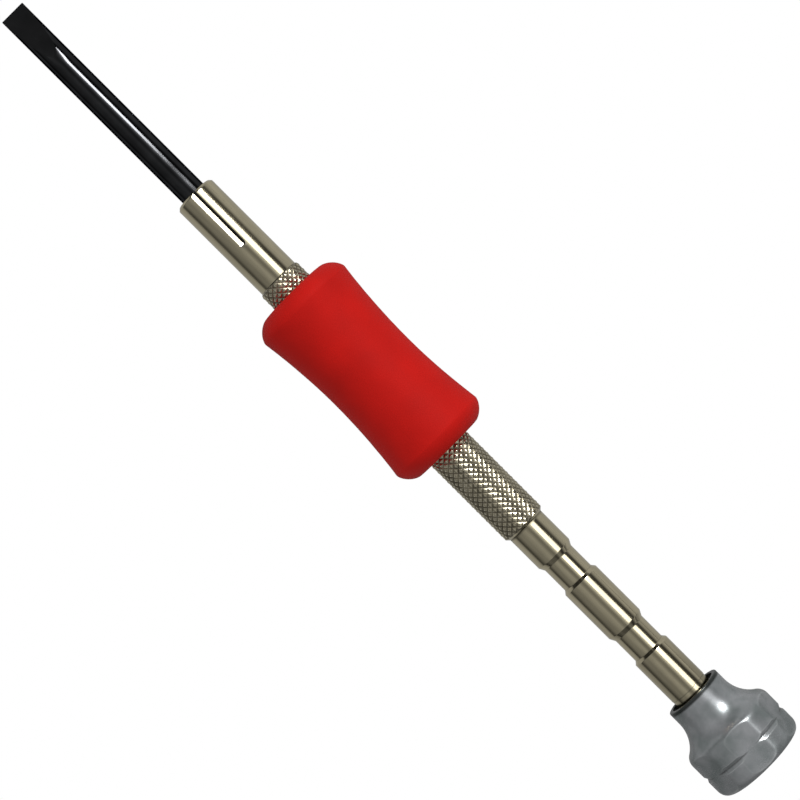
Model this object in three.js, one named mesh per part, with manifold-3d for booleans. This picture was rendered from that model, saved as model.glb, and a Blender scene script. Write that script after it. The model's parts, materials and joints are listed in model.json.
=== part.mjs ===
// Slotted precision screwdriver with a cushion grip and a ball-bearing swivel knob.
//
// The tool lies along X, blade towards -X and knob towards +X, resting on the rims of its cushion.
// Every length is in millimetres. Stations along the tool are measured from the blade's tip, and the
// outer group moves them so that the origin is under the middle of the tool, at the cushion's underside.

import * as THREE from 'three';
import { mergeVertices } from 'three/addons/utils/BufferGeometryUtils.js';
import Module from 'manifold-3d';

const wasm = await Module();
wasm.setup();

// ---- driving dimensions ----------------------------------------------------------------------

const LENGTH = 110.8; // blade tip to the knob's end face
const FACETS = 40; // sides of every turned piece but the cushion, with a flat at the top and the bottom
const CUSHION_FACETS = 24; // the cushion's flats are wider, so that the tool lies still on them
const FIT_GAP = 0.02; // left between faces that touch

const BLADE = { radius: 1.5, length: 46.0, flatLength: 6.8, tipThickness: 0.5 };
const TANG = { length: 2.6, thickness: 1.56 };
const SOCKET = { start: 43.6, end: 48.4, radius: 1.95, slotDepth: 2.45, slotWidth: 1.64 };

const NOSE = { start: 26.86, radius: 2.4, chamfer: 0.3, boreRadius: 1.55 };
const NOSE_SLOT = { end: 34.5, width: 0.36 };
const SPIGOT = { end: 43.4, radius: 1.95 };

const BARREL = { start: 39.4, radius: 2.62, frontChamfer: 0.3, knurlEnd: 75.5 };
const BARREL_BORE = { radius: 2.0, end: 48.5, coneLength: 0.45, throughRadius: 1.25 };
const LAND_RADIUS = 2.225;
const GROOVE_RADIUS = 1.9;
const GROOVES = [
  { chamferStart: 80.05, start: 80.67, end: 83.65, stepEnd: 83.97 },
  { chamferStart: 90.48, start: 91.1, end: 94.03, stepEnd: 94.4 },
];
const TAIL_END = 99.88;

const CUSHION = { start: 41.4, end: 64.45, rimRadius: 5.85, waistRadius: 5.17, corner: 1.8, bore: 2.68 };
const CORNER_POWER = 1.6; // 2 would be a round corner, 1 a straight chamfer

const COLLAR = { start: 99.92, end: 101.95, radius: 2.2, bore: 1.45 };
const SPINDLE = { threadStart: 94.9, threadRadius: 1.21, journalRadius: 1.4 };
const SPINDLE_HEAD = { start: 106.05, end: 106.85, radius: 2.9, pilotEnd: 107.2, pilotRadius: 0.95 };
const DRIVE_SLOT = { width: 0.5, bottom: 106.4 };

const KNOB = { start: 100.48, neckRadius: 3.33, headRadius: 5.47, acrossFlats: 10.35, rimRound: 0.15 };
const KNOB_FLARE = { start: 101.9, hollowRadius: 3.9, shoulderRadius: 1.15 };
const KNOB_GROOVE = { at: 108.07, halfWidth: 0.5, radius: 5.24 };
const KNOB_REAR = { roundStart: 109.7, faceRadius: 4.7 };
const KNOB_TURN_DEG = 2.5; // how far the knob's top flat leans from straight up, towards +Y
const RECESS = { end: 102.0, radius: 2.8 };
const KNOB_BORE_RADIUS = 2.1;
const POCKET = { start: 105.3, radius: 3.3 };

const BUSH = { bore: 1.45, radius: 2.06, flangeEnd: 105.7, flangeRadius: 2.9 };
const WASHER = { start: 105.73, end: 106.02, radius: 2.9 };
const END_CAP = { start: 108.68, radius: 3.26, chamfer: 0.12 };

const BALL = { count: 8, radius: 0.5, circleRadius: 2.2, centre: 107.77 };
const CAGE = { thickness: 0.44, innerRadius: 1.35, outerRadius: 3.0, pocketRadius: 0.56 };
const RACE = { thickness: 0.36, innerRadius: 1.0, frontRadius: 2.9, rearRadius: 3.24 };

// ---- finishes --------------------------------------------------------------------------------

const finish = (color, roughness, metalness) => new THREE.MeshStandardMaterial({ color, roughness, metalness });

const NICKEL = finish(0xb5b09a, 0.28, 1.0);
const BLACK_OXIDE = finish(0x17181a, 0.35, 1.0);
const RED_CUSHION = finish(0xc01d18, 0.7, 0.0);
const GREY_METAL = finish(0x7f8486, 0.45, 1.0);
const STEEL = finish(0xb8bcc0, 0.2, 1.0);
const BRONZE = finish(0xa8793c, 0.35, 1.0);
const NYLON = finish(0xe6e2d6, 0.6, 0.0);

// ---- shape helpers ---------------------------------------------------------------------------

/** A profile of [station, radius] points turned about X. It runs up the outside and back inside. */
function turned(profile, facets = FACETS) {
  const points = profile.map(([station, radius]) => new THREE.Vector2(radius, station));
  const geometry = new THREE.LatheGeometry(points, facets, Math.PI / facets, 2 * Math.PI);
  return geometry.rotateZ(-Math.PI / 2);
}

/** A plain ring or sleeve about X. */
function ring(start, end, innerRadius, outerRadius) {
  return turned([
    [start, innerRadius],
    [start, outerRadius],
    [end, outerRadius],
    [end, innerRadius],
    [start, innerRadius],
  ]);
}

/** A plain disc or rod about X. */
function rod(start, end, radius) {
  return turned([
    [start, 0],
    [start, radius],
    [end, radius],
    [end, 0],
  ]);
}

/** A box between two stations, centred on the X axis. */
function bar(start, end, width, height) {
  return new THREE.BoxGeometry(end - start, width, height).translate((start + end) / 2, 0, 0);
}

/** A geometry as a manifold solid: only positions are kept, and shared corners are joined. */
function toSolid(geometry) {
  const bare = geometry.clone();
  bare.deleteAttribute('normal');
  bare.deleteAttribute('uv');
  const merged = mergeVertices(bare, 1e-5);
  const corners = Array.from(merged.index.array);
  const kept = [];
  for (let i = 0; i < corners.length; i += 3) {
    const [a, b, c] = corners.slice(i, i + 3);
    if (a !== b && b !== c && c !== a) kept.push(a, b, c);
  }
  return new wasm.Manifold(
    new wasm.Mesh({
      numProp: 3,
      vertProperties: new Float32Array(merged.attributes.position.array),
      triVerts: new Uint32Array(kept),
    }),
  );
}

/** A manifold solid as a geometry again. */
function toGeometry(solid) {
  const mesh = solid.getMesh();
  const geometry = new THREE.BufferGeometry();
  geometry.setAttribute('position', new THREE.BufferAttribute(mesh.vertProperties, 3));
  geometry.setIndex(new THREE.BufferAttribute(mesh.triVerts, 1));
  geometry.computeVertexNormals();
  return geometry;
}

/** One geometry with each of the cutters taken out of it. */
function cut(geometry, cutters) {
  const start = toSolid(geometry);
  return toGeometry(cutters.reduce((solid, cutter) => solid.subtract(toSolid(cutter)), start));
}

/** A named sub-part. */
function piece(name, geometry, material) {
  const mesh = new THREE.Mesh(geometry, material);
  mesh.name = name;
  return mesh;
}

// ---- blade and what holds it -----------------------------------------------------------------

/** A wedge that grinds the upper flat of the tip, thinning it from the shank to the tip's edge. */
function tipFlatCutter() {
  const { radius, flatLength, tipThickness } = BLADE;
  const reach = 1; // how far the cutter runs past the blade on every side
  const slope = (radius - tipThickness / 2) / flatLength;
  const outline = new THREE.Shape([
    new THREE.Vector2(-reach, tipThickness / 2 - slope * reach),
    new THREE.Vector2(flatLength + reach, radius + slope * reach),
    new THREE.Vector2(-reach, radius + reach),
  ]);
  const width = 2 * (radius + reach);
  const wedge = new THREE.ExtrudeGeometry(outline, { depth: width, bevelEnabled: false });
  return wedge.translate(0, 0, -width / 2).rotateX(Math.PI / 2);
}

/** A box that grinds the upper flat of the tang at the blade's inner end. */
function tangCutter() {
  const { radius, length } = BLADE;
  const height = 2 * radius;
  const cutter = bar(length - TANG.length, length + 1, 2 * height, height);
  return cutter.translate(0, 0, (TANG.thickness + height) / 2);
}

function blade() {
  const upper = [tipFlatCutter(), tangCutter()];
  const lower = upper.map((cutter) => cutter.clone().rotateX(Math.PI));
  return piece('blade', cut(rod(0, BLADE.length, BLADE.radius), [...upper, ...lower]), BLACK_OXIDE);
}

/** The split nose that grips the blade, with the spigot that fixes it in the barrel. */
function chuckNose() {
  const { start, radius, chamfer, boreRadius } = NOSE;
  const shoulder = BARREL.start - FIT_GAP;
  const body = turned([
    [start, boreRadius],
    [start, radius - chamfer],
    [start + chamfer, radius],
    [shoulder, radius],
    [shoulder, SPIGOT.radius],
    [SPIGOT.end, SPIGOT.radius],
    [SPIGOT.end, boreRadius],
    [start, boreRadius],
  ]);
  const endRadius = NOSE_SLOT.width / 2;
  const endCentre = NOSE_SLOT.end - endRadius;
  const sawCut = bar(start - 1, endCentre, NOSE_SLOT.width, 3 * radius);
  const roundEnd = new THREE.CylinderGeometry(endRadius, endRadius, 3 * radius, 12);
  roundEnd.rotateX(Math.PI / 2).translate(endCentre, 0, 0);
  return piece('chuck_nose', cut(body, [sawCut, roundEnd]), NICKEL);
}

/** The slotted plug that the blade's tang fits into, so that the handle can turn the blade. */
function tangSocket() {
  const { start, end, radius, slotDepth, slotWidth } = SOCKET;
  const slot = bar(start - 1, start + slotDepth, 3 * radius, slotWidth);
  return piece('tang_socket', cut(rod(start, end, radius), [slot]), STEEL);
}

// ---- handle ----------------------------------------------------------------------------------

/** The knurled barrel and its stepped tail: a tube, opened out in front for the blade's fittings. */
function barrel() {
  const { start, radius, frontChamfer, knurlEnd } = BARREL;
  const coneEnd = BARREL_BORE.end + BARREL_BORE.coneLength;
  const profile = [
    [coneEnd, BARREL_BORE.throughRadius],
    [BARREL_BORE.end, BARREL_BORE.radius],
    [start, BARREL_BORE.radius],
    [start, radius - frontChamfer],
    [start + frontChamfer, radius],
    [knurlEnd, radius],
    [knurlEnd + radius - LAND_RADIUS, LAND_RADIUS],
  ];
  for (const groove of GROOVES) {
    profile.push([groove.chamferStart, LAND_RADIUS]);
    profile.push([groove.start, GROOVE_RADIUS]);
    profile.push([groove.end, GROOVE_RADIUS]);
    profile.push([groove.stepEnd, LAND_RADIUS]);
  }
  profile.push([TAIL_END, LAND_RADIUS]);
  profile.push([TAIL_END, BARREL_BORE.throughRadius]);
  profile.push([coneEnd, BARREL_BORE.throughRadius]);
  return piece('barrel', turned(profile), NICKEL);
}

/** The soft sleeve: waisted between two rims, with full, softly rounded ends. */
function cushionGrip() {
  const { start, end, rimRadius, waistRadius, corner, bore } = CUSHION;
  const cornerSteps = 4;
  const waistSteps = 10;
  const middle = (start + end) / 2;
  const halfSpan = (end - start) / 2 - corner;
  const frontCorner = [];
  for (let i = 0; i <= cornerSteps; i += 1) {
    const u = 1 - i / cornerSteps; // 1 at the end face, 0 at the rim
    const drop = corner * (1 - (1 - u ** CORNER_POWER) ** (1 / CORNER_POWER));
    frontCorner.push([start + corner * (1 - u), rimRadius - drop]);
  }
  const waist = [];
  for (let i = 1; i < waistSteps; i += 1) {
    const u = (2 * i) / waistSteps - 1; // -1 and 1 at the rims, 0 at the waist
    waist.push([middle + halfSpan * u, waistRadius + (rimRadius - waistRadius) * u ** 2]);
  }
  const rearCorner = frontCorner.map(([station, radius]) => [start + end - station, radius]).reverse();
  const profile = [[start, bore], ...frontCorner, ...waist, ...rearCorner, [end, bore], [start, bore]];
  return piece('cushion_grip', turned(profile, CUSHION_FACETS), RED_CUSHION);
}

// ---- swivel ----------------------------------------------------------------------------------

/** The spacer between the barrel's tail and the knob's bush. */
function spacerCollar() {
  return piece('spacer_collar', ring(COLLAR.start, COLLAR.end, COLLAR.bore, COLLAR.radius), NICKEL);
}

/** The shoulder screw that the knob turns on. Its head keeps the knob on and holds the front race. */
function spindleScrew() {
  const { threadStart, threadRadius, journalRadius } = SPINDLE;
  const head = SPINDLE_HEAD;
  const body = turned([
    [threadStart, 0],
    [threadStart, threadRadius],
    [TAIL_END + FIT_GAP, threadRadius],
    [TAIL_END + FIT_GAP, journalRadius],
    [head.start, journalRadius],
    [head.start, head.radius],
    [head.end, head.radius],
    [head.end, head.pilotRadius],
    [head.pilotEnd, head.pilotRadius],
    [head.pilotEnd, 0],
  ]);
  const slot = bar(DRIVE_SLOT.bottom, head.pilotEnd + 1, 3 * head.radius, DRIVE_SLOT.width);
  return piece('spindle_screw', cut(body, [slot]), STEEL);
}

/** The knob's outer shell: a round neck that flares into a six-sided head, open at both ends. */
function knobShell() {
  const { start, neckRadius, headRadius, acrossFlats, rimRound } = KNOB;
  const { hollowRadius, shoulderRadius } = KNOB_FLARE;
  const profile = [
    [start, RECESS.radius],
    [start, neckRadius - rimRound],
    [start + rimRound, neckRadius],
  ];

  // The flare is a hollow arc and a shoulder arc that meet at one slope.
  const meetAngle = Math.acos(1 - (headRadius - neckRadius) / (hollowRadius + shoulderRadius));
  const arcSteps = 6;
  const flareEnd = KNOB_FLARE.start + (hollowRadius + shoulderRadius) * Math.sin(meetAngle);
  for (let i = 0; i <= arcSteps; i += 1) {
    const angle = (meetAngle * i) / arcSteps;
    const radius = neckRadius + hollowRadius * (1 - Math.cos(angle));
    profile.push([KNOB_FLARE.start + hollowRadius * Math.sin(angle), radius]);
  }
  for (let i = arcSteps - 1; i >= 0; i -= 1) {
    const angle = (meetAngle * i) / arcSteps;
    const radius = headRadius - shoulderRadius * (1 - Math.cos(angle));
    profile.push([flareEnd - shoulderRadius * Math.sin(angle), radius]);
  }

  profile.push([KNOB_GROOVE.at - KNOB_GROOVE.halfWidth, headRadius]);
  profile.push([KNOB_GROOVE.at, KNOB_GROOVE.radius]);
  profile.push([KNOB_GROOVE.at + KNOB_GROOVE.halfWidth, headRadius]);

  const roundSteps = 4;
  for (let i = 0; i <= roundSteps; i += 1) {
    const angle = ((Math.PI / 2) * i) / roundSteps;
    const station = KNOB_REAR.roundStart + (LENGTH - KNOB_REAR.roundStart) * Math.sin(angle);
    profile.push([station, KNOB_REAR.faceRadius + (headRadius - KNOB_REAR.faceRadius) * Math.cos(angle)]);
  }

  profile.push([LENGTH, POCKET.radius]);
  profile.push([POCKET.start, POCKET.radius]);
  profile.push([POCKET.start, KNOB_BORE_RADIUS]);
  profile.push([RECESS.end, KNOB_BORE_RADIUS]);
  profile.push([RECESS.end, RECESS.radius]);
  profile.push([start, RECESS.radius]);

  const flatCutters = [];
  for (let side = 0; side < 6; side += 1) {
    const cutter = bar(start - 1, LENGTH + 1, 2 * headRadius, headRadius);
    cutter.translate(0, 0, (acrossFlats + headRadius) / 2);
    flatCutters.push(cutter.rotateX(THREE.MathUtils.degToRad(60 * side - KNOB_TURN_DEG)));
  }
  return piece('knob_shell', cut(turned(profile), flatCutters), GREY_METAL);
}

/** The flanged plastic bush pressed into the knob, which runs on the spindle's journal. */
function knobBush() {
  const profile = [
    [RECESS.end, BUSH.bore],
    [RECESS.end, BUSH.radius],
    [POCKET.start + FIT_GAP, BUSH.radius],
    [POCKET.start + FIT_GAP, BUSH.flangeRadius],
    [BUSH.flangeEnd, BUSH.flangeRadius],
    [BUSH.flangeEnd, BUSH.bore],
    [RECESS.end, BUSH.bore],
  ];
  return piece('knob_bush', turned(profile), NYLON);
}

function retainingWasher() {
  return piece('retaining_washer', ring(WASHER.start, WASHER.end, BUSH.bore, WASHER.radius), NYLON);
}

function frontRace() {
  const end = BALL.centre - BALL.radius - FIT_GAP;
  return piece('front_race', ring(end - RACE.thickness, end, RACE.innerRadius, RACE.frontRadius), STEEL);
}

function rearRace() {
  const start = BALL.centre + BALL.radius + FIT_GAP;
  return piece('rear_race', ring(start, start + RACE.thickness, RACE.innerRadius, RACE.rearRadius), STEEL);
}

/** Puts a geometry made at the axis in one ball's place on the ball circle. */
function atBall(geometry, index) {
  const angle = (2 * Math.PI * index) / BALL.count;
  return geometry.translate(BALL.centre, 0, BALL.circleRadius).rotateX(angle);
}

/** The brass ring that keeps the balls apart. */
function ballCage() {
  const half = CAGE.thickness / 2;
  const blank = ring(BALL.centre - half, BALL.centre + half, CAGE.innerRadius, CAGE.outerRadius);
  const pockets = [];
  for (let i = 0; i < BALL.count; i += 1) {
    const pocket = new THREE.CylinderGeometry(CAGE.pocketRadius, CAGE.pocketRadius, 1, 16);
    pockets.push(atBall(pocket.rotateZ(Math.PI / 2), i));
  }
  return piece('ball_cage', cut(blank, pockets), BRONZE);
}

function balls() {
  const meshes = [];
  for (let i = 0; i < BALL.count; i += 1) {
    const sphere = new THREE.SphereGeometry(BALL.radius, 12, 8);
    meshes.push(piece(`ball_${i + 1}`, atBall(sphere.rotateZ(Math.PI / 2), i), STEEL));
  }
  return meshes;
}

/** The disc that closes the knob behind its bearing and takes the push of the finger. */
function endCap() {
  const { start, radius, chamfer } = END_CAP;
  const profile = [
    [start, 0],
    [start, radius],
    [LENGTH - chamfer, radius],
    [LENGTH, radius - chamfer],
    [LENGTH, 0],
  ];
  return piece('end_cap', turned(profile), GREY_METAL);
}

// ---- assembly --------------------------------------------------------------------------------

const handle = new THREE.Group();
handle.add(barrel(), chuckNose(), tangSocket(), cushionGrip(), spacerCollar(), spindleScrew(), frontRace());

const bearing = new THREE.Group();
bearing.add(ballCage(), ...balls());

const knob = new THREE.Group();
knob.add(knobShell(), knobBush(), retainingWasher(), rearRace(), endCap());

// The cushion rests on one of its facets, so the axis is that facet's distance above the ground.
const axisHeight = CUSHION.rimRadius * Math.cos(Math.PI / CUSHION_FACETS);
const screwdriver = new THREE.Group();
screwdriver.add(blade(), handle, bearing, knob);
screwdriver.position.set(-LENGTH / 2, 0, axisHeight);

export default screwdriver;
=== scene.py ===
"""The finished look of a slotted precision screwdriver: blade, split nose, knurled barrel, cushion and knob.

Lengths are in metres. The tool lies along X with its blade towards -X, and stations along it are
measured from the blade's tip. Angles round it are measured from straight up, towards +Y.
"""

import json
from math import acos, atan2, cos, pi, radians, sin, sqrt, tan

import bmesh
import bpy
from bpy.props import FloatProperty, FloatVectorProperty, IntProperty, PointerProperty
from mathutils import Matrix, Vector, noise


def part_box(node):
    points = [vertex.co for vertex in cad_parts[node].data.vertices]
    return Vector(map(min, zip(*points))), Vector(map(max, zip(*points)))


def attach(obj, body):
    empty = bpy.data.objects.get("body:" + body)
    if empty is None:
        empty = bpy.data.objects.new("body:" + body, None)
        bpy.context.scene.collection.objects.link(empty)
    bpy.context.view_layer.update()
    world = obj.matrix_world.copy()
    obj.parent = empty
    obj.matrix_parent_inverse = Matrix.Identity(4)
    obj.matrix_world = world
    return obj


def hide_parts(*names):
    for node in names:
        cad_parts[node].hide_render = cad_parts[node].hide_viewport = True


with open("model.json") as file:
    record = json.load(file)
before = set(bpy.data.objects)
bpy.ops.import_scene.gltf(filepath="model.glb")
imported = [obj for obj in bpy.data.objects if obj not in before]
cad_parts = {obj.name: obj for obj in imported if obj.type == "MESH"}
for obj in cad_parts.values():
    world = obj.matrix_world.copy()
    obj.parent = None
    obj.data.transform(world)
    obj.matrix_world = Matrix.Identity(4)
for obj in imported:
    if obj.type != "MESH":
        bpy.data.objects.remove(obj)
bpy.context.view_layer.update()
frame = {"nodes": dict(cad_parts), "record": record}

bl_info = {
    "name": "Precision Screwdriver",
    "version": (1, 0, 0),
    "blender": (4, 5, 0),
    "location": "3D View > Sidebar > Screwdriver",
    "description": "Makes the finished pieces, finishes and stage of a slotted precision screwdriver",
    "category": "Add Mesh",
}

MM = 0.001
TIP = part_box("blade")[0].x
AXIS = (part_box("blade")[0].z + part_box("blade")[1].z) / 2
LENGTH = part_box("end_cap")[1].x - TIP
COLUMNS = 160  # round a turned piece
SHARP = radians(28)  # faces that meet at more than this keep a hard edge between them


# ---- sizes and colours that can be changed ------------------------------------------------------


def length(name, description, millimetres):
    return FloatProperty(
        name=name,
        description=description,
        default=millimetres * MM,
        min=0.0,
        precision=5,
        subtype="DISTANCE",
        unit="LENGTH",
    )


def colour(name, description, red, green, blue):
    return FloatVectorProperty(
        name=name,
        description=description,
        default=(red, green, blue),
        min=0.0,
        max=1.0,
        subtype="COLOR",
    )


class BladeSettings(bpy.types.PropertyGroup):
    flat_length: length("Flat length", "How far back the two ground flats of the tip reach", 6.8)
    tip_thickness: length("Tip thickness", "Thickness of the tip's edge", 0.5)
    edge: length("Edge break", "How much the ground edges are broken", 0.03)


class NoseSettings(bpy.types.PropertyGroup):
    slit_end: length("Slit end", "Station where the nose's sawn slit ends", 34.5)
    slit_width: length("Slit width", "Clear width of the slit", 0.28)
    lip_width: length("Lip width", "Width of the sloping lip along one side of the slit", 0.44)
    lip_slope: FloatProperty(
        name="Lip slope",
        description="How far the lip leans into the slit",
        default=radians(18.5),
        subtype="ANGLE",
    )
    bevel_width: length("Bevel width", "Width of the steep bevel along the slit's other side", 0.06)


class BarrelSettings(bpy.types.PropertyGroup):
    pitch: length("Knurl pitch", "Length of one knurl diamond along the barrel", 0.716)
    diamonds: IntProperty(
        name="Diamonds", description="Knurl diamonds round the barrel", default=20, min=4
    )
    depth: length("Knurl depth", "Depth of the knurl's grooves", 0.11)
    flat_top: FloatProperty(
        name="Flat top",
        description="Share of each diamond that is left at the full radius",
        default=0.12,
        min=0.0,
        max=0.9,
        subtype="FACTOR",
    )
    edge: length("Edge break", "How much the tail's turned edges are broken", 0.05)


class CushionSettings(bpy.types.PropertyGroup):
    rim_radius: length("Rim radius", "Largest radius, near each end", 5.85)
    waist_radius: length("Waist radius", "Smallest radius, in the middle", 5.17)
    corner: length("Corner", "Reach of the soft rounding at each end", 1.8)
    unevenness: length("Unevenness", "How much the moulded skin swells and sinks", 0.025)


class KnobSettings(bpy.types.PropertyGroup):
    across_flats: length("Across flats", "Width of the head over two opposite flats", 10.45)
    turn: FloatProperty(
        name="Turn",
        description="How far the top flat leans from straight up, towards +Y",
        default=radians(2.5),
        subtype="ANGLE",
    )
    blend: length("Flat edge", "Softness of the edges of the six flats", 0.06)


class FinishSettings(bpy.types.PropertyGroup):
    nickel: colour("Nickel", "Warm nickel plate", 0.70, 0.63, 0.44)
    oxide: colour("Black oxide", "Blackened blade steel", 0.036, 0.037, 0.039)
    cushion: colour("Cushion", "Soft red rubber", 0.282, 0.0042, 0.0026)
    grey_metal: colour("Grey metal", "Blasted aluminium knob", 0.235, 0.248, 0.250)
    steel: colour("Steel", "Polished bearing steel", 0.62, 0.63, 0.64)
    bronze: colour("Bronze", "Bearing cage", 0.55, 0.33, 0.13)
    nylon: colour("Nylon", "Bush and washer", 0.80, 0.77, 0.68)


class StageSettings(bpy.types.PropertyGroup):
    camera_height: length("Camera height", "Height of the camera above the tool's axis", 273.85)
    camera_along: length("Camera along", "How far the camera stands towards the knob", 1.9)
    camera_turn: FloatProperty(
        name="Camera turn",
        description="How far the camera is turned about its line of sight",
        default=radians(44.96),
        subtype="ANGLE",
    )
    lens: FloatProperty(
        name="Lens", description="Focal length in millimetres", default=117.81, min=1.0
    )
    lamp_reach: length("Lamp reach", "Distance of the long strip lamp from the tool", 400.0)
    lamp_angle: FloatProperty(
        name="Lamp angle",
        description="How far the long strip lamp leans from straight up, towards +Y",
        default=radians(34),
        subtype="ANGLE",
    )


# ---- shape helpers ------------------------------------------------------------------------------


def tool_point(station, radius, angle):
    """The place at a station, a distance from the tool's axis and an angle round it."""
    return (TIP + station, radius * sin(angle), AXIS + radius * cos(angle))


def station_of(node, end):
    """The station where a CAD node starts, with end 0, or ends, with end 1."""
    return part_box(node)[end].x - TIP


def radius_of(node):
    """The outer radius of a turned CAD node."""
    low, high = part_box(node)
    return (high.y - low.y) / 2


def softened(outline, radius, steps=4):
    """An outline with its inner corners rounded. A guard point each side keeps the long faces true."""
    points = [Vector(point) for point in outline]
    result = [points[0]]
    for before, corner, after in zip(points, points[1:], points[2:]):
        into, away = before - corner, after - corner
        reach = min(radius, 0.35 * into.length, 0.35 * away.length)
        into.normalize()
        away.normalize()
        if into.angle(away) > radians(160):
            result.append(corner)
            continue
        result.append(corner + 1.4 * reach * into)
        for i in range(steps + 1):
            u = i / steps
            result.append(corner + reach * (1 - u) ** 2 * into + reach * u**2 * away)
        result.append(corner + 1.4 * reach * away)
    result.append(points[-1])
    return [tuple(point) for point in result]


def divided(outline, step):
    """An outline with long straight runs cut into steps no longer than this."""
    result = [outline[0]]
    for start, end in zip(outline, outline[1:]):
        start, end = Vector(start), Vector(end)
        pieces = max(1, round((end - start).length / step))
        result += [tuple(start.lerp(end, i / pieces)) for i in range(1, pieces + 1)]
    return result


def spun(name, outline, columns=COLUMNS, shape=None):
    """A mesh turned about the tool's axis from (station, radius) points.

    The outline runs towards the knob on the outside. shape(station, radius, angle) gives another radius.
    """
    closed = outline[0] == outline[-1]
    points, rings, faces = [], [], []
    for station, radius in outline[:-1] if closed else outline:
        if radius < 1e-9:
            rings.append([len(points)] * columns)
            points.append(tool_point(station, 0, 0))
            continue
        rings.append(range(len(points), len(points) + columns))
        for j in range(columns):
            angle = 2 * pi * j / columns
            here = shape(station, radius, angle) if shape else radius
            points.append(tool_point(station, here, angle))
    if closed:
        rings.append(rings[0])
    for here, there in zip(rings, rings[1:]):
        for j in range(columns):
            k = (j + 1) % columns
            corners = list(dict.fromkeys([here[j], there[j], there[k], here[k]]))
            if len(corners) > 2:
                faces.append(corners)
    mesh = bpy.data.meshes.new(name)
    mesh.from_pydata(points, [], faces)
    return mesh


def evaluated(mesh, prepare):
    """The mesh that comes out of modifiers. prepare adds them to an object that holds the mesh."""
    holder = bpy.data.objects.new(mesh.name, mesh)
    bpy.context.scene.collection.objects.link(holder)
    prepare(holder)
    bpy.context.view_layer.update()
    graph = bpy.context.evaluated_depsgraph_get()
    result = bpy.data.meshes.new_from_object(holder.evaluated_get(graph))
    result.name = mesh.name
    bpy.data.objects.remove(holder)
    bpy.data.meshes.remove(mesh)
    return result


def carved(mesh, cutter_mesh):
    """A mesh with another one cut out of it."""
    cutter = bpy.data.objects.new("cutter", cutter_mesh)
    bpy.context.scene.collection.objects.link(cutter)

    def prepare(holder):
        cut = holder.modifiers.new("cut", "BOOLEAN")
        cut.operation = "DIFFERENCE"
        cut.solver = "EXACT"
        cut.object = cutter

    result = evaluated(mesh, prepare)
    bpy.data.objects.remove(cutter)
    bpy.data.meshes.remove(cutter_mesh)
    return result


def mark_edges(mesh):
    """Stores how sharply the surface turns outwards (edge) and inwards (hollow) at each vertex."""
    shape = bmesh.new()
    shape.from_mesh(mesh)
    outward = [0.0] * len(shape.verts)
    inward = [0.0] * len(shape.verts)
    for line in shape.edges:
        if len(line.link_faces) != 2:
            continue
        turn = line.calc_face_angle_signed(0.0)
        marks = outward if turn > 0 else inward
        share = min(1.0, max(0.0, (abs(turn) - radians(5)) / radians(20)))
        for vert in line.verts:
            marks[vert.index] = max(marks[vert.index], share)
    reach = 0.2 * MM  # how far round a deep corner the painted shade spreads
    wider = list(inward)
    for line in shape.edges:
        first, second = (vert.index for vert in line.verts)
        share = 1 - min(1.0, line.calc_length() / reach)
        wider[first] = max(wider[first], share * inward[second])
        wider[second] = max(wider[second], share * inward[first])
    shape.free()
    for name, values in (("edge", outward), ("hollow", wider)):
        attribute = mesh.attributes.new(name, "FLOAT", "POINT")
        attribute.data.foreach_set("value", values)


def make_piece(name, mesh, body, slot, *nodes):
    """Shows a finished mesh in place of CAD nodes, riding on a body and with its slot's finish."""
    shape = bmesh.new()
    shape.from_mesh(mesh)
    bmesh.ops.remove_doubles(shape, verts=shape.verts, dist=1e-7)
    bmesh.ops.recalc_face_normals(shape, faces=shape.faces)
    shape.to_mesh(mesh)
    shape.free()
    mark_edges(mesh)
    mesh.shade_smooth()
    mesh.set_sharp_from_angle(angle=SHARP)
    mesh.materials.clear()
    mesh.materials.append(finish_for(slot))
    piece = bpy.data.objects.new(name, mesh)
    bpy.context.scene.collection.objects.link(piece)
    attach(piece, body)
    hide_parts(*nodes)
    return piece


# ---- node helpers -------------------------------------------------------------------------------


def add(tree, kind, inputs=None, **settings):
    """Adds a node. inputs are linked if they are sockets, and stored if they are values."""
    node = tree.nodes.new(kind)
    for key, value in settings.items():
        setattr(node, key, value)
    for key, value in (inputs or {}).items():
        if isinstance(value, bpy.types.NodeSocket):
            tree.links.new(value, node.inputs[key])
        else:
            node.inputs[key].default_value = value
    return node


def sum_of(tree, operation, *values, clamp=False):
    """The output of a Math node."""
    inputs = dict(enumerate(values))
    return add(tree, "ShaderNodeMath", inputs, operation=operation, use_clamp=clamp).outputs[0]


def mixed(tree, factor, first, second):
    """The output of a node that mixes two colours."""
    node = add(tree, "ShaderNodeMix", data_type="RGBA")
    for socket, value in zip((node.inputs[0], node.inputs[6], node.inputs[7]), (factor, first, second)):
        if isinstance(value, bpy.types.NodeSocket):
            tree.links.new(value, socket)
        elif socket is node.inputs[0]:
            socket.default_value = value
        else:
            socket.default_value = (*value, 1.0)
    return node.outputs[2]


def ranged(tree, value, low, high, to_low=0.0, to_high=1.0):
    """A value from one range put into another, and held inside it."""
    inputs = {"Value": value, "From Min": low, "From Max": high, "To Min": to_low, "To Max": to_high}
    return add(tree, "ShaderNodeMapRange", inputs).outputs["Result"]


def shader_group(name, inputs, outputs):
    """An empty shader node group with float inputs and outputs, and the nodes at its two ends."""
    tree = bpy.data.node_groups.new(name, "ShaderNodeTree")
    for label, value in inputs.items():
        socket = tree.interface.new_socket(label, in_out="INPUT", socket_type="NodeSocketFloat")
        socket.default_value = value
    for label in outputs:
        tree.interface.new_socket(label, in_out="OUTPUT", socket_type="NodeSocketFloat")
    start = tree.nodes.new("NodeGroupInput")
    end = tree.nodes.new("NodeGroupOutput")
    return tree, start.outputs, end.inputs


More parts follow.
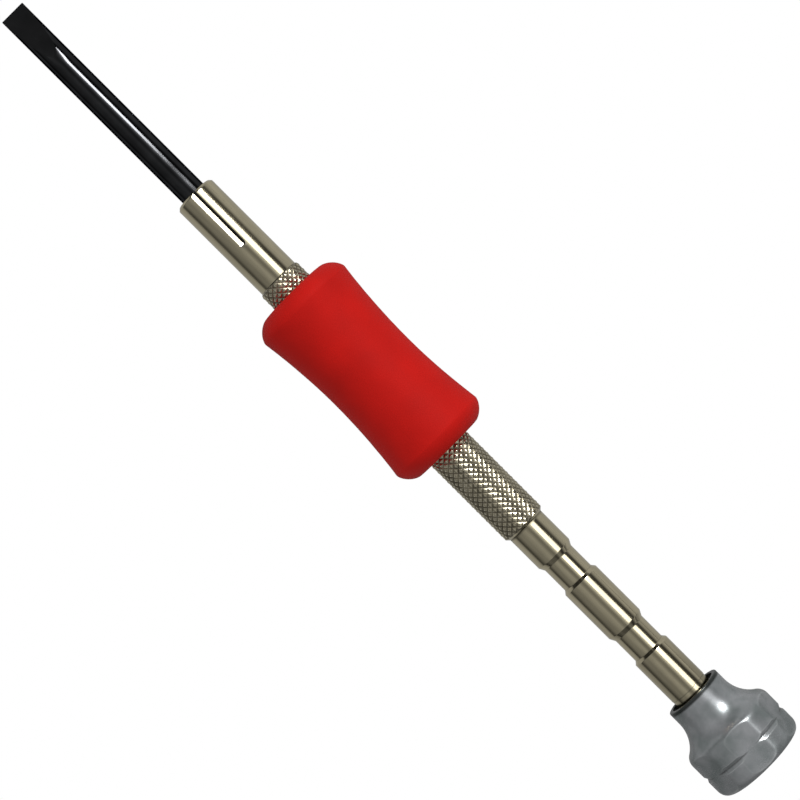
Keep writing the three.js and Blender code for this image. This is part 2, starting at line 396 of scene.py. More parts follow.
def noise_at(tree, place, scale, detail=3.0, roughness=0.55):
    """Soft random values from 0 to 1 over a place."""
    inputs = {"Vector": place, "Scale": scale, "Detail": detail, "Roughness": roughness}
    return add(tree, "ShaderNodeTexNoise", inputs).outputs[0]


def object_place(tree):
    """The place on the piece, in its own coordinates."""
    return add(tree, "ShaderNodeTexCoord").outputs["Object"]


def stretched_place(tree, along, across):
    """The place on the piece, squeezed so that noise runs in streaks."""
    inputs = {0: object_place(tree), 1: (along, across, across)}
    return add(tree, "ShaderNodeVectorMath", inputs, operation="MULTIPLY").outputs[0]


# ---- shared effects -----------------------------------------------------------------------------


def make_lathe_marks():
    """Fine rings left by the turning tool, and slower bands of them."""
    tree, given, out = shader_group("lathe marks", {"Spacing": 0.00006}, ["Height", "Band"])
    place = stretched_place(tree, 1.0, 0.03)
    fine = noise_at(tree, place, sum_of(tree, "DIVIDE", 1.0, given["Spacing"]), 2.0)
    band = noise_at(tree, place, sum_of(tree, "DIVIDE", 0.12, given["Spacing"]), 4.0, 0.7)
    tree.links.new(fine, out["Height"])
    tree.links.new(band, out["Band"])
    return tree


def make_edge_rubbing_and_glint():
    """Where outward edges have been rubbed, in patches; the finishes lighten these edges, partly as rubbing
    and partly as a painted highlight.
    """
    tree, given, out = shader_group("edge glint and rubbing", {"Amount": 1.0, "Patch Scale": 900.0}, ["Mask"])
    edge = add(tree, "ShaderNodeAttribute", attribute_name="edge").outputs["Fac"]
    place = object_place(tree)
    patches = noise_at(tree, place, given["Patch Scale"])
    share = ranged(tree, patches, 0.3, 0.65, 0.25, 1.0)
    rubbing_glint_mask = sum_of(tree, "MULTIPLY", edge, share)
    rubbing_glint_mask = sum_of(tree, "MULTIPLY", rubbing_glint_mask, given["Amount"], clamp=True)
    tree.links.new(rubbing_glint_mask, out["Mask"])
    return tree


def make_hollow_shade_and_film():
    """Where painted shade lies in inward corners, with a thin film of grime in patches elsewhere."""
    tree, given, out = shader_group("hollow shade and grime film", {"Amount": 1.0, "Film": 0.1}, ["Mask"])
    hollow = add(tree, "ShaderNodeAttribute", attribute_name="hollow").outputs["Fac"]
    place = object_place(tree)
    patches = noise_at(tree, place, 700.0)
    corner = sum_of(tree, "MULTIPLY", hollow, ranged(tree, patches, 0.25, 0.6, 0.45, 1.0))
    corner = sum_of(tree, "MULTIPLY", corner, given["Amount"])
    film = sum_of(tree, "MULTIPLY", ranged(tree, patches, 0.45, 0.75), given["Film"])
    tree.links.new(sum_of(tree, "ADD", corner, film, clamp=True), out["Mask"])
    return tree


def make_handling():
    """Soft smudges left by fingers, and finer smears inside them."""
    tree, given, out = shader_group("handling", {"Scale": 260.0}, ["Smudge", "Smear"])
    place = object_place(tree)
    smudge = ranged(tree, noise_at(tree, place, given["Scale"], 2.0), 0.35, 0.7)
    streaks = stretched_place(tree, 0.4, 1.0)
    fine = noise_at(tree, streaks, sum_of(tree, "MULTIPLY", given["Scale"], 9.0), 4.0)
    tree.links.new(smudge, out["Smudge"])
    tree.links.new(sum_of(tree, "MULTIPLY", fine, smudge), out["Smear"])
    return tree


def make_grain():
    """An even, fine grain, as of blasted metal or moulded rubber."""
    tree, given, out = shader_group("grain", {"Size": 0.0001}, ["Height", "Cells"])
    place = object_place(tree)
    scale = sum_of(tree, "DIVIDE", 1.0, given["Size"])
    soft = noise_at(tree, place, scale, 3.0, 0.6)
    cells = add(tree, "ShaderNodeTexVoronoi", {"Vector": place, "Scale": scale}).outputs["Distance"]
    tree.links.new(soft, out["Height"])
    tree.links.new(cells, out["Cells"])
    return tree


EFFECT_MAKERS = {
    "lathe marks": make_lathe_marks,
    "edge glint and rubbing": make_edge_rubbing_and_glint,
    "hollow shade and grime film": make_hollow_shade_and_film,
    "handling": make_handling,
    "grain": make_grain,
}

EFFECTS = {}


def placed(tree, name, **values):
    """Puts a shared effect, made once, in a material with its own values, and gives its outputs."""
    if name not in EFFECTS:
        EFFECTS[name] = EFFECT_MAKERS[name]()
    node = add(tree, "ShaderNodeGroup", node_tree=EFFECTS[name])
    for key, value in values.items():
        node.inputs[key.replace("_", " ").title()].default_value = value
    return node.outputs


# ---- finishes -----------------------------------------------------------------------------------


def new_finish(name, **constants):
    """A material with a Principled shader whose fixed values are on its own sockets."""
    finish = bpy.data.materials.new(name)
    finish.use_nodes = True
    tree = finish.node_tree
    shader = tree.nodes["Principled BSDF"]
    for key, value in constants.items():
        shader.inputs[key.replace("_", " ")].default_value = value
    return finish, tree, shader


def join(tree, shader, colour_out, roughness_out, height_out, depth):
    """Links what changes over the surface to the shader. depth is the bump's height in metres."""
    inputs = {"Height": height_out, "Distance": depth, "Strength": 1.0}
    bump = add(tree, "ShaderNodeBump", inputs).outputs["Normal"]
    tree.links.new(colour_out, shader.inputs["Base Color"])
    tree.links.new(roughness_out, shader.inputs["Roughness"])
    tree.links.new(bump, shader.inputs["Normal"])


def darker(colour_value, share):
    return tuple(share * part for part in colour_value)


def nickel_finish(finishes):
    finish, tree, shader = new_finish("warm nickel plate", Metallic=1.0)
    clean = tuple(finishes.nickel)
    marks = placed(tree, "lathe marks", spacing=0.00007)
    handled = placed(tree, "handling", scale=240.0)
    hollow_shade_and_grime = placed(tree, "hollow shade and grime film", amount=0.95, film=0.05)["Mask"]
    drawn = noise_at(tree, stretched_place(tree, 0.10, 1.0), 1700.0, 3.0)
    rubbing_and_glint = placed(tree, "edge glint and rubbing", amount=0.4)["Mask"]
    tone = mixed(tree, marks["Band"], darker(clean, 0.93), clean)
    tone = mixed(tree, handled["Smear"], tone, darker(clean, 0.86))
    tone = mixed(tree, ranged(tree, drawn, 0.35, 0.65, 0.0, 0.6), tone, darker(clean, 0.72))
    # lighter edges: partly rubbed metal, partly a painted highlight along them
    tone = mixed(tree, rubbing_and_glint, tone, (0.80, 0.77, 0.69))
    # painted shade: the grooves, steps and other hollows go near black, with a thin grime film in patches
    tone = mixed(tree, hollow_shade_and_grime, tone, (0.055, 0.048, 0.032))
    rough = sum_of(tree, "MULTIPLY_ADD", handled["Smudge"], 0.05, 0.07)
    rough = sum_of(tree, "MULTIPLY_ADD", marks["Band"], 0.06, rough)
    rough = sum_of(tree, "MULTIPLY_ADD", hollow_shade_and_grime, 0.38, rough)
    height = sum_of(tree, "MULTIPLY_ADD", handled["Smear"], 0.35, marks["Height"])
    join(tree, shader, tone, rough, height, 0.0000012)
    return finish


def oxide_finish(finishes):
    finish, tree, shader = new_finish("black oxide", Metallic=1.0, Specular_Tint=(0.2, 0.2, 0.2, 1.0))
    base = tuple(finishes.oxide)
    handled = placed(tree, "handling", scale=420.0)
    rubbing_and_glint = placed(tree, "edge glint and rubbing", amount=0.6, patch_scale=1600.0)["Mask"]
    streaks = noise_at(tree, stretched_place(tree, 0.25, 1.0), 9000.0, 3.0)
    tone = mixed(tree, handled["Smear"], base, darker(base, 1.9))
    # lighter edges: partly rubbed metal, partly a painted highlight along them
    tone = mixed(tree, rubbing_and_glint, tone, (0.05, 0.05, 0.052))
    rough = sum_of(tree, "MULTIPLY_ADD", handled["Smudge"], 0.05, 0.05)
    rough = sum_of(tree, "MULTIPLY_ADD", streaks, 0.05, rough)
    join(tree, shader, tone, rough, streaks, 0.0000003)
    return finish


def cushion_finish(finishes):
    finish, tree, shader = new_finish("red cushion rubber", Specular_IOR_Level=0.05)
    base = tuple(finishes.cushion)
    skin = placed(tree, "grain", size=0.00016)
    handled = placed(tree, "handling", scale=190.0)
    rub_and_sheen = placed(tree, "edge glint and rubbing", amount=0.5, patch_scale=500.0)["Mask"]
    tone = mixed(tree, skin["Height"], darker(base, 0.90), base)
    tone = mixed(tree, handled["Smudge"], tone, darker(base, 0.82))
    # lighter rims: partly rubbed rubber, partly a painted sheen along them
    tone = mixed(tree, rub_and_sheen, tone, darker(base, 1.15))
    rough = sum_of(tree, "MULTIPLY_ADD", skin["Height"], 0.14, 0.60)
    rough = sum_of(tree, "MULTIPLY_ADD", handled["Smudge"], -0.07, rough)
    height = sum_of(tree, "MULTIPLY_ADD", skin["Cells"], 0.5, skin["Height"])
    join(tree, shader, tone, rough, height, 0.000012)
    return finish


def grey_metal_finish(finishes):
    finish, tree, shader = new_finish("blasted grey aluminium", Metallic=0.62)
    base = tuple(finishes.grey_metal)
    blasted = placed(tree, "grain", size=0.00007)
    handled = placed(tree, "handling", scale=170.0)
    rubbing_and_glint = placed(tree, "edge glint and rubbing", amount=1.0, patch_scale=1100.0)["Mask"]
    hollow_shade_and_grime = placed(tree, "hollow shade and grime film", amount=0.7, film=0.05)["Mask"]
    place = object_place(tree)
    cloud = ranged(tree, noise_at(tree, place, 430.0, 3.0), 0.32, 0.68)
    cool, warm = (0.95, 1.02, 1.01), (1.02, 0.99, 1.02)
    dull = tuple(0.70 * part * tint for part, tint in zip(base, cool))
    bright = tuple(1.22 * part * tint for part, tint in zip(base, warm))
    tone = mixed(tree, cloud, dull, bright)
    tone = mixed(tree, sum_of(tree, "MULTIPLY", blasted["Height"], 0.3), tone, darker(base, 0.85))
    # lighter edges: partly rubbed metal, partly a painted highlight along them
    tone = mixed(tree, rubbing_and_glint, tone, (0.42, 0.44, 0.44))
    # painted shade: the knob's front rim and the opening behind it go nearly black, fading out by station
    # 101.0 mm
    along = add(tree, "ShaderNodeSeparateXYZ", {0: place}).outputs["X"]
    mouth_shade = ranged(tree, along, TIP + 100.8 * MM, TIP + 101.0 * MM, 0.92, 0.0)
    tone = mixed(tree, mouth_shade, tone, (0.014, 0.017, 0.015))
    # painted shade: the knob's hollows go dark grey, with a thin grime film in patches
    tone = mixed(tree, hollow_shade_and_grime, tone, (0.07, 0.07, 0.07))
    rough = sum_of(tree, "MULTIPLY_ADD", blasted["Height"], 0.08, 0.24)
    rough = sum_of(tree, "MULTIPLY_ADD", handled["Smudge"], -0.04, rough)
    join(tree, shader, tone, rough, blasted["Height"], 0.0000035)
    return finish


def steel_finish(finishes):
    finish, tree, shader = new_finish("polished bearing steel", Metallic=1.0)
    base = tuple(finishes.steel)
    marks = placed(tree, "lathe marks", spacing=0.00004)
    handled = placed(tree, "handling", scale=600.0)
    tone = mixed(tree, marks["Band"], darker(base, 0.9), base)
    rough = sum_of(tree, "MULTIPLY_ADD", handled["Smudge"], 0.10, 0.12)
    join(tree, shader, tone, rough, marks["Height"], 0.0000006)
    return finish


def bronze_finish(finishes):
    finish, tree, shader = new_finish("turned bronze", Metallic=1.0)
    base = tuple(finishes.bronze)
    marks = placed(tree, "lathe marks", spacing=0.00006)
    handled = placed(tree, "handling", scale=500.0)
    tone = mixed(tree, handled["Smudge"], base, darker(base, 0.7))
    rough = sum_of(tree, "MULTIPLY_ADD", marks["Band"], 0.15, 0.25)
    join(tree, shader, tone, rough, marks["Height"], 0.000001)
    return finish


def nylon_finish(finishes):
    finish, tree, shader = new_finish("natural nylon", Specular_IOR_Level=0.4)
    base = tuple(finishes.nylon)
    skin = placed(tree, "grain", size=0.0001)
    handled = placed(tree, "handling", scale=500.0)
    tone = mixed(tree, handled["Smudge"], base, darker(base, 0.88))
    rough = sum_of(tree, "MULTIPLY_ADD", skin["Height"], 0.15, 0.48)
    join(tree, shader, tone, rough, skin["Height"], 0.000004)
    return finish


FINISH_MAKERS = {
    "nickel_plate": nickel_finish,
    "black_oxide": oxide_finish,
    "red_cushion": cushion_finish,
    "grey_aluminium": grey_metal_finish,
    "bright_steel": steel_finish,
    "bronze": bronze_finish,
    "nylon": nylon_finish,
}

FINISHES = {}


def finish_for(slot):
    """The material for one of the record's slots, made once."""
    if slot not in FINISHES:
        FINISHES[slot] = FINISH_MAKERS[slot](bpy.context.scene.screwdriver_finishes)
    return FINISHES[slot]


# ---- blade --------------------------------------------------------------------------------------


def blade_mesh(settings):
    """A round bar with two ground flats that taper to the tip, and two flats on the tang."""
    radius = radius_of("blade")
    end = station_of("blade", 1)
    tang_start = station_of("tang_socket", 0)
    tang_half = 0.78 * MM  # half the tang's thickness
    outline = divided([(0, 0), (0, radius), (end, radius), (end, 0)], 2 * MM)
    mesh = spun("blade_bar", softened(outline, settings.edge), 128)
    shape = bmesh.new()
    shape.from_mesh(mesh)
    half_tip = settings.tip_thickness / 2
    slope = atan2(radius - half_tip, settings.flat_length)
    for side in (1, -1):
        point = Vector((TIP, 0, AXIS + side * half_tip))
        normal = Vector((-sin(slope), 0, side * cos(slope)))
        everything = shape.verts[:] + shape.edges[:] + shape.faces[:]
        cut = bmesh.ops.bisect_plane(
            shape, geom=everything, plane_co=point, plane_no=normal, clear_outer=True
        )
        rim = [item for item in cut["geom_cut"] if isinstance(item, bmesh.types.BMEdge)]
        bmesh.ops.contextual_create(shape, geom=rim)
    shape.to_mesh(mesh)
    shape.free()
    return carved(mesh, tang_cutter_mesh(tang_start, end, tang_half, radius))


def box_corners(low, high):
    return [
        (x, y, z)
        for x in (low[0], high[0])
        for y in (low[1], high[1])
        for z in (low[2], high[2])
    ]


BOX_FACES = [(0, 1, 3, 2), (4, 6, 7, 5), (0, 4, 5, 1), (2, 3, 7, 6), (0, 2, 6, 4), (1, 5, 7, 3)]


def tang_cutter_mesh(start, end, half, radius):
    """Two boxes that leave a flat tang between them."""
    points, faces = [], []
    for side in (1, -1):
        near, far = AXIS + side * half, AXIS + side * 2 * radius
        low = (TIP + start, -2 * radius, min(near, far))
        high = (TIP + end + MM, 2 * radius, max(near, far))
        first = len(points)
        points += box_corners(low, high)
        faces += [tuple(first + i for i in face) for face in BOX_FACES]
    mesh = bpy.data.meshes.new("tang cutter")
    mesh.from_pydata(points, [], faces)
    return outward(mesh)


def outward(mesh):
    """The mesh with its faces turned outwards."""
    shape = bmesh.new()
    shape.from_mesh(mesh)
    bmesh.ops.recalc_face_normals(shape, faces=shape.faces)
    shape.to_mesh(mesh)
    shape.free()
    return mesh


# ---- split nose ---------------------------------------------------------------------------------


def slit_cutter_mesh(settings, start, radius):
    """The space of the sawn slit, with a wide sloping lip on one side and a steep bevel on the other.

    Its section is laid out for the top of the nose, and turned half round for the bottom.
    """
    reach = 0.3 * MM  # how far the cutter stands out past the nose
    round_length = 0.35 * MM  # of the slit's rounded end
    steps = 8
    lip_edge = sqrt(radius**2 - settings.lip_width**2)
    lip_foot = lip_edge - settings.lip_width * tan(settings.lip_slope)
    bevel_out = settings.slit_width + settings.bevel_width
    bevel_edge = sqrt(radius**2 - bevel_out**2)
    bevel_foot = bevel_edge - settings.bevel_width
    lip_rise = reach * tan(settings.lip_slope)
    section = [
        (0.0, 0.0),
        (settings.slit_width, 0.0),
        (settings.slit_width, bevel_foot),
        (bevel_out + reach, bevel_edge + reach),
        (-settings.lip_width - reach, radius + reach),
        (-settings.lip_width - reach, lip_edge + lip_rise),
        (0.0, lip_foot),
    ]
    middle = (bevel_out - settings.lip_width) / 2
    stations = [(start - MM, 1.0)]
    for i in range(steps + 1):
        u = i / steps
        stations.append((settings.slit_end - round_length * (1 - u), max(0.02, sqrt(1 - u * u))))
    points, faces = [], []
    for side in (1, -1):
        first = len(points)
        for station, share in stations:
            for across, up in section:
                across = middle + (across - middle) * share
                points.append((TIP + station, side * across, AXIS + side * up))
        count = len(section)
        for ring in range(len(stations) - 1):
            for i in range(count):
                j = (i + 1) % count
                here, there = first + ring * count, first + (ring + 1) * count
                faces.append((here + i, there + i, there + j, here + j))
        faces.append(tuple(range(first, first + count)))
        faces.append(tuple(range(first + count * (len(stations) - 1), first + count * len(stations))))
    mesh = bpy.data.meshes.new("slit cutter")
    mesh.from_pydata(points, [], faces)
    return outward(mesh)


def nose_mesh(settings):
    """The tube of the nose, with its slit sawn through from the front."""
    start, end = station_of("chuck_nose", 0), station_of("chuck_nose", 1)
    radius = radius_of("chuck_nose")
    bore = 1.53 * MM
    chamfer = 0.28 * MM
    shoulder = station_of("barrel", 0) - 0.02 * MM
    spigot = radius_of("tang_socket")  # both fit the barrel's bore
    outer = softened(
        [
            (start, bore),
            (start, radius - chamfer),
            (start + chamfer, radius),
            (shoulder, radius),
            (shoulder, spigot),
            (end, spigot),
            (end, bore),
        ],
        0.07 * MM,
    )
    mesh = spun("split_nose", divided(outer + [(start, bore)], 0.5 * MM))
    return carved(mesh, slit_cutter_mesh(settings, start, radius))


# ---- barrel -------------------------------------------------------------------------------------


def knurl_tree():
    """Cuts two crossing sets of grooves into a turned blank, by moving its vertices in towards the axis."""
    tree = bpy.data.node_groups.new("knurl", "GeometryNodeTree")
    sockets = {
        "Blank": "NodeSocketGeometry",
        "Pitch": "NodeSocketFloat",
        "Diamonds": "NodeSocketFloat",
        "Depth": "NodeSocketFloat",
        "Flat Top": "NodeSocketFloat",
        "Radius": "NodeSocketFloat",
        "Axis Height": "NodeSocketFloat",
        "Phase X": "NodeSocketFloat",
        "Front End": "NodeSocketFloat",
        "Rear Start": "NodeSocketFloat",
        "Rear End": "NodeSocketFloat",
        "Finish": "NodeSocketMaterial",
    }
    for label, kind in sockets.items():
        tree.interface.new_socket(label, in_out="INPUT", socket_type=kind)
    tree.interface.new_socket("Knurled", in_out="OUTPUT", socket_type="NodeSocketGeometry")
    given = tree.nodes.new("NodeGroupInput").outputs
    place = add(tree, "GeometryNodeInputPosition").outputs[0]
    parts = add(tree, "ShaderNodeSeparateXYZ", {0: place}).outputs
    up = sum_of(tree, "SUBTRACT", parts["Z"], given["Axis Height"])
    turn = sum_of(tree, "DIVIDE", sum_of(tree, "ARCTAN2", parts["Y"], up), 2 * pi)
    turn = sum_of(tree, "MULTIPLY", turn, given["Diamonds"])
    run = sum_of(tree, "DIVIDE", sum_of(tree, "SUBTRACT", parts["X"], given["Phase X"]), given["Pitch"])

    def rise(value):
        """0 in the grooves and 1 half way between them."""
        share = sum_of(tree, "FRACT", value)
        fold = sum_of(tree, "ABSOLUTE", sum_of(tree, "MULTIPLY_ADD", share, 2.0, -1.0))
        return sum_of(tree, "SUBTRACT", 1.0, fold)

    left = rise(sum_of(tree, "ADD", turn, run))
    right = rise(sum_of(tree, "SUBTRACT", turn, run))
    lower = sum_of(tree, "MINIMUM", left, right)
    top = sum_of(tree, "SUBTRACT", 1.0, given["Flat Top"])
    height = sum_of(tree, "DIVIDE", lower, top, clamp=True)
    sunk = sum_of(tree, "MULTIPLY", sum_of(tree, "SUBTRACT", 1.0, height), given["Depth"])
    wanted = sum_of(tree, "SUBTRACT", given["Radius"], sunk)
    across = add(tree, "ShaderNodeCombineXYZ", {"Y": parts["Y"], "Z": up}).outputs[0]
    radius = add(tree, "ShaderNodeVectorMath", {0: across}, operation="LENGTH").outputs["Value"]
    new_radius = sum_of(tree, "MINIMUM", radius, wanted)
    scale = sum_of(tree, "DIVIDE", new_radius, radius)
    inputs = {
        "X": parts["X"],
        "Y": sum_of(tree, "MULTIPLY", parts["Y"], scale),
        "Z": sum_of(tree, "MULTIPLY_ADD", up, scale, given["Axis Height"]),
    }
    moved = add(tree, "ShaderNodeCombineXYZ", inputs).outputs[0]

    outer = sum_of(tree, "GREATER_THAN", radius, sum_of(tree, "SUBTRACT", given["Radius"], given["Depth"]))
    in_front = sum_of(tree, "LESS_THAN", parts["X"], given["Front End"])
    behind = sum_of(tree, "GREATER_THAN", parts["X"], given["Rear Start"])
    before_end = sum_of(tree, "LESS_THAN", parts["X"], given["Rear End"])
    zone = sum_of(tree, "MAXIMUM", in_front, sum_of(tree, "MINIMUM", behind, before_end))
    zone = sum_of(tree, "MINIMUM", zone, outer)
    leans_left = sum_of(tree, "LESS_THAN", left, right)
    inputs = {"Mesh": given["Blank"], "Selection": sum_of(tree, "MINIMUM", zone, leans_left)}
    first = add(tree, "GeometryNodeTriangulate", inputs, quad_method="FIXED_ALTERNATE").outputs[0]
    inputs = {"Mesh": first, "Selection": zone}
    second = add(tree, "GeometryNodeTriangulate", inputs, quad_method="FIXED").outputs[0]
    inputs = {"Geometry": second, "Selection": zone, "Position": moved}
    cut = add(tree, "GeometryNodeSetPosition", inputs).outputs[0]
    real = add(tree, "GeometryNodeRealizeInstances", {0: cut}).outputs[0]
    inputs = {"Geometry": real, "Material": given["Finish"]}
    done = add(tree, "GeometryNodeSetMaterial", inputs).outputs[0]
    end = tree.nodes.new("NodeGroupOutput")
    tree.links.new(done, end.inputs[0])
    return tree


def set_inputs(modifier, values):
    """Sets a Geometry Nodes modifier's inputs by their labels."""
    for item in modifier.node_group.interface.items_tree:
        if item.item_type == "SOCKET" and item.in_out == "INPUT" and item.name in values:
            modifier[item.identifier] = values[item.name]


def tail_outline(land, sunk, tail_end):
    """The barrel's tail: two sunk bands between three lands. Each has a slope in front and a step behind."""
    bands = [
        (80.05 * MM, 80.67 * MM, 83.60 * MM, 84.00 * MM),
        (90.48 * MM, 91.1 * MM, 94.03 * MM, 94.4 * MM),
    ]
    outline = []
    for slope_start, start, end, step_end in bands:
        outline += [(slope_start, land), (start, sunk), (end, sunk), (step_end, land)]
    return outline + [(tail_end, land)]


def barrel_mesh(settings):
    """A turned blank with rows fine enough for the knurl where it shows, then the knurl itself."""
    start = station_of("barrel", 0)
    radius = radius_of("barrel")
    tail_end = station_of("barrel", 1)
    knurl_end = 75.5 * MM
    cushion_start, cushion_end = station_of("cushion_grip", 0), station_of("cushion_grip", 1)
    bore, through = 2.0 * MM, 1.25 * MM
    bore_end = 48.5 * MM
    row = settings.pitch / 8
    land, sunk = 2.225 * MM, 1.9 * MM
    chamfer, chamfer_rows = 0.16 * MM, 2
    slope_rows = 5  # from the knurl down to the tail
    cover = 1.0 * MM  # how far the knurl runs on under the cushion
    front_rows = round((cushion_start + cover - start) / row)
    rear_rows = round((knurl_end - (cushion_end - cover)) / row)
    front_end = start + front_rows * row
    rear_start = knurl_end - rear_rows * row
    # whole rows between the two stretches give both the same phase
    rear_start = start + round((rear_start - start) / row) * row
    outline = [(start, bore), (start, radius - chamfer)]
    for i in range(1, front_rows + 1):
        station = start + i * row
        outline.append((station, min(radius, radius - chamfer + i * chamfer / chamfer_rows)))
    outline.append((rear_start, radius))
    rows_left = round((knurl_end - rear_start) / row)
    for i in range(1, rows_left + 1):
        outline.append((rear_start + i * row, radius))
    last = outline[-1][0]
    drop = radius - land
    for i in range(1, slope_rows + 1):
        outline.append((last + i * drop / slope_rows, radius - i * drop / slope_rows))
    tail = tail_outline(land, sunk, tail_end)
    tail = softened([outline[-1], *tail, (tail_end, through)], settings.edge)
    outline += divided(tail, 0.12 * MM)[1:]
    outline += [(bore_end + 0.45 * MM, through), (bore_end, bore), (start, bore)]
    mesh = spun("knurled_barrel", outline, settings.diamonds * 8)
    values = {
        "Pitch": settings.pitch,
        "Diamonds": float(settings.diamonds),
        "Depth": settings.depth,
        "Flat Top": settings.flat_top,
        "Radius": radius,
        "Axis Height": AXIS,
        "Phase X": TIP + start,
        "Front End": TIP + front_end,
        "Rear Start": TIP + rear_start,
        "Rear End": TIP + last + 2 * MM,
        "Finish": finish_for("nickel_plate"),
    }

    def prepare(holder):
        knurl = holder.modifiers.new("knurl", "NODES")
        knurl.node_group = knurl_tree()
        set_inputs(knurl, values)

    return evaluated(mesh, prepare)


# ---- cushion ------------------------------------------------------------------------------------


def cushion_mesh(settings):
    """A waisted sleeve with full, softly rounded ends, a little uneven as moulded foam rubber is."""
    start, end = station_of("cushion_grip", 0) + 0.1 * MM, station_of("cushion_grip", 1)
    bore = radius_of("barrel") + 0.04 * MM
    middle = (start + end) / 2
    half_span = (end - start) / 2 - settings.corner
    power = 1.6  # 2 would make the corner round, 1 a straight chamfer
    corner_steps, waist_steps = 28, 110
    front = []
    for i in range(corner_steps + 1):
        turn = (pi / 2) * i / corner_steps
        along = sin(turn) ** (2 / power)
        across = cos(turn) ** (2 / power)
        station = start + settings.corner * (1 - across)
        front.append((station, settings.rim_radius - settings.corner * (1 - along)))
    waist = []
    swell = settings.rim_radius - settings.waist_radius
    for i in range(1, waist_steps):
        u = 2 * i / waist_steps - 1
        waist.append((middle + half_span * u, settings.waist_radius + swell * u**2))
    rear = [(start + end - station, radius) for station, radius in reversed(front)]
    face = [(start, radius) for radius in stepped(bore, front[0][1], 12)]
    back = [(end, radius) for radius in stepped(rear[-1][1], bore, 12)]
    outline = [*face[:-1], *front, *waist, *rear, *back[1:], (start, bore)]

    def uneven(station, radius, angle):
        if radius < 1.2 * bore:
            return radius
        place = Vector(tool_point(station, radius, angle))
        slow = noise.noise(place * 260)
        quick = noise.noise(place * 900 + Vector((3, 5, 7)))
        return radius + settings.unevenness * (slow + 0.35 * quick)

    return spun("cushion_sleeve", outline, 192, uneven)


def stepped(start, end, steps):
    return [start + (end - start) * i / steps for i in range(steps + 1)]


# ---- spacer, knob and end cap -------------------------------------------------------------------


def spacer_mesh():
    start, end = station_of("barrel", 1) + 0.005 * MM, station_of("spacer_collar", 1)
    radius, bore = radius_of("spacer_collar"), 1.42 * MM
    corners = [(start, bore), (start, radius), (end, radius), (end, bore)]
    return spun("spacer_ring", softened(corners, 0.03 * MM) + [(start, bore)])


def softer_minimum(first, second, width):
    """The smaller of two values, rounded over where they are close."""
    near = max(width - abs(first - second), 0.0) / width
    return min(first, second) - near * near * width / 4


def knob_outline():
    """The knob's turned outside, before its flats are cut: neck, flare, shoulder, groove and rounded rear."""
    start, end = station_of("knob_shell", 0), station_of("knob_shell", 1)
    neck, head = 3.33 * MM, 5.49 * MM
    hollow, shoulder = 3.9 * MM, 1.15 * MM
    flare_start = 101.9 * MM
    meet = acos(1 - (head - neck) / (hollow + shoulder))
    flare_end = flare_start + (hollow + shoulder) * sin(meet)
    rim = softened([(start, neck - 0.6 * MM), (start, neck), (flare_start, neck)], 0.16 * MM, 6)
    outline = divided(rim[1:], 0.12 * MM)
    for i in range(1, 41):
        angle = meet * i / 40
        outline.append((flare_start + hollow * sin(angle), neck + hollow * (1 - cos(angle))))
    for i in range(19, -1, -1):
        angle = meet * i / 20
        outline.append((flare_end - shoulder * sin(angle), head - shoulder * (1 - cos(angle))))
    groove_at, groove_half, groove_depth = 108.07 * MM, 0.4 * MM, 0.22 * MM
    rear_start = 109.7 * MM
    steps = 80
    for i in range(1, steps + 1):
        station = flare_end + (rear_start - flare_end) * i / steps
        inside = max(0.0, 1 - abs(station - groove_at) / groove_half)
        outline.append((station, head - groove_depth * inside))
    face = 4.7 * MM
    for i in range(1, 17):
        angle = (pi / 2) * i / 16
        station = rear_start + (end - rear_start) * sin(angle)
        outline.append((station, face + (head - face) * cos(angle)))
    return outline


def knob_mesh(settings):
    """The knob's shell: the turned outline with six flats milled on it, and bored from both ends."""
    start, end = station_of("knob_shell", 0), station_of("knob_shell", 1)
    outside = knob_outline()
    pocket, bore, recess = 3.3 * MM, 2.1 * MM, 2.8 * MM
    pocket_start, recess_end = 105.3 * MM, 102.0 * MM
    back = softened(
        [
            outside[-1],
            (end, pocket),
            (pocket_start, pocket),
            (pocket_start, bore),
            (recess_end, bore),
            (recess_end, recess),
            (start, recess),
            outside[0],
        ],
        0.08 * MM,
    )
    outline = outside + back[1:]
    inner_limit = 3.4 * MM

    def milled(station, radius, angle):
        if radius < inner_limit and station > recess_end:
            return radius
        sixth = pi / 3
        off = (angle - settings.turn + sixth / 2) % sixth - sixth / 2
        flat = settings.across_flats / 2 / cos(off)
        return softer_minimum(radius, flat, settings.blend)

    return spun("knob_body", outline, 288, milled)


def cap_mesh():
    """The knob's end cap: a disc with a rounded rim and a shallow dished face."""
    start, end = station_of("end_cap", 0), station_of("end_cap", 1)
    radius = radius_of("end_cap")
    dish_radius, dish_depth = 2.4 * MM, 0.14 * MM
    corners = [(start, 0), (start, radius), (end, radius), (end, dish_radius)]
    outline = softened(corners, 0.14 * MM, 5)
    for i in range(1, 13):
        u = i / 12
        outline.append((end - dish_depth * (1 - (1 - u) ** 2) * u, dish_radius * (1 - u)))
    return spun("knob_cap", outline)


# ---- stage --------------------------------------------------------------------------------------


SOFT_FILL = 0.85  # even light that only the matt share of a finish takes


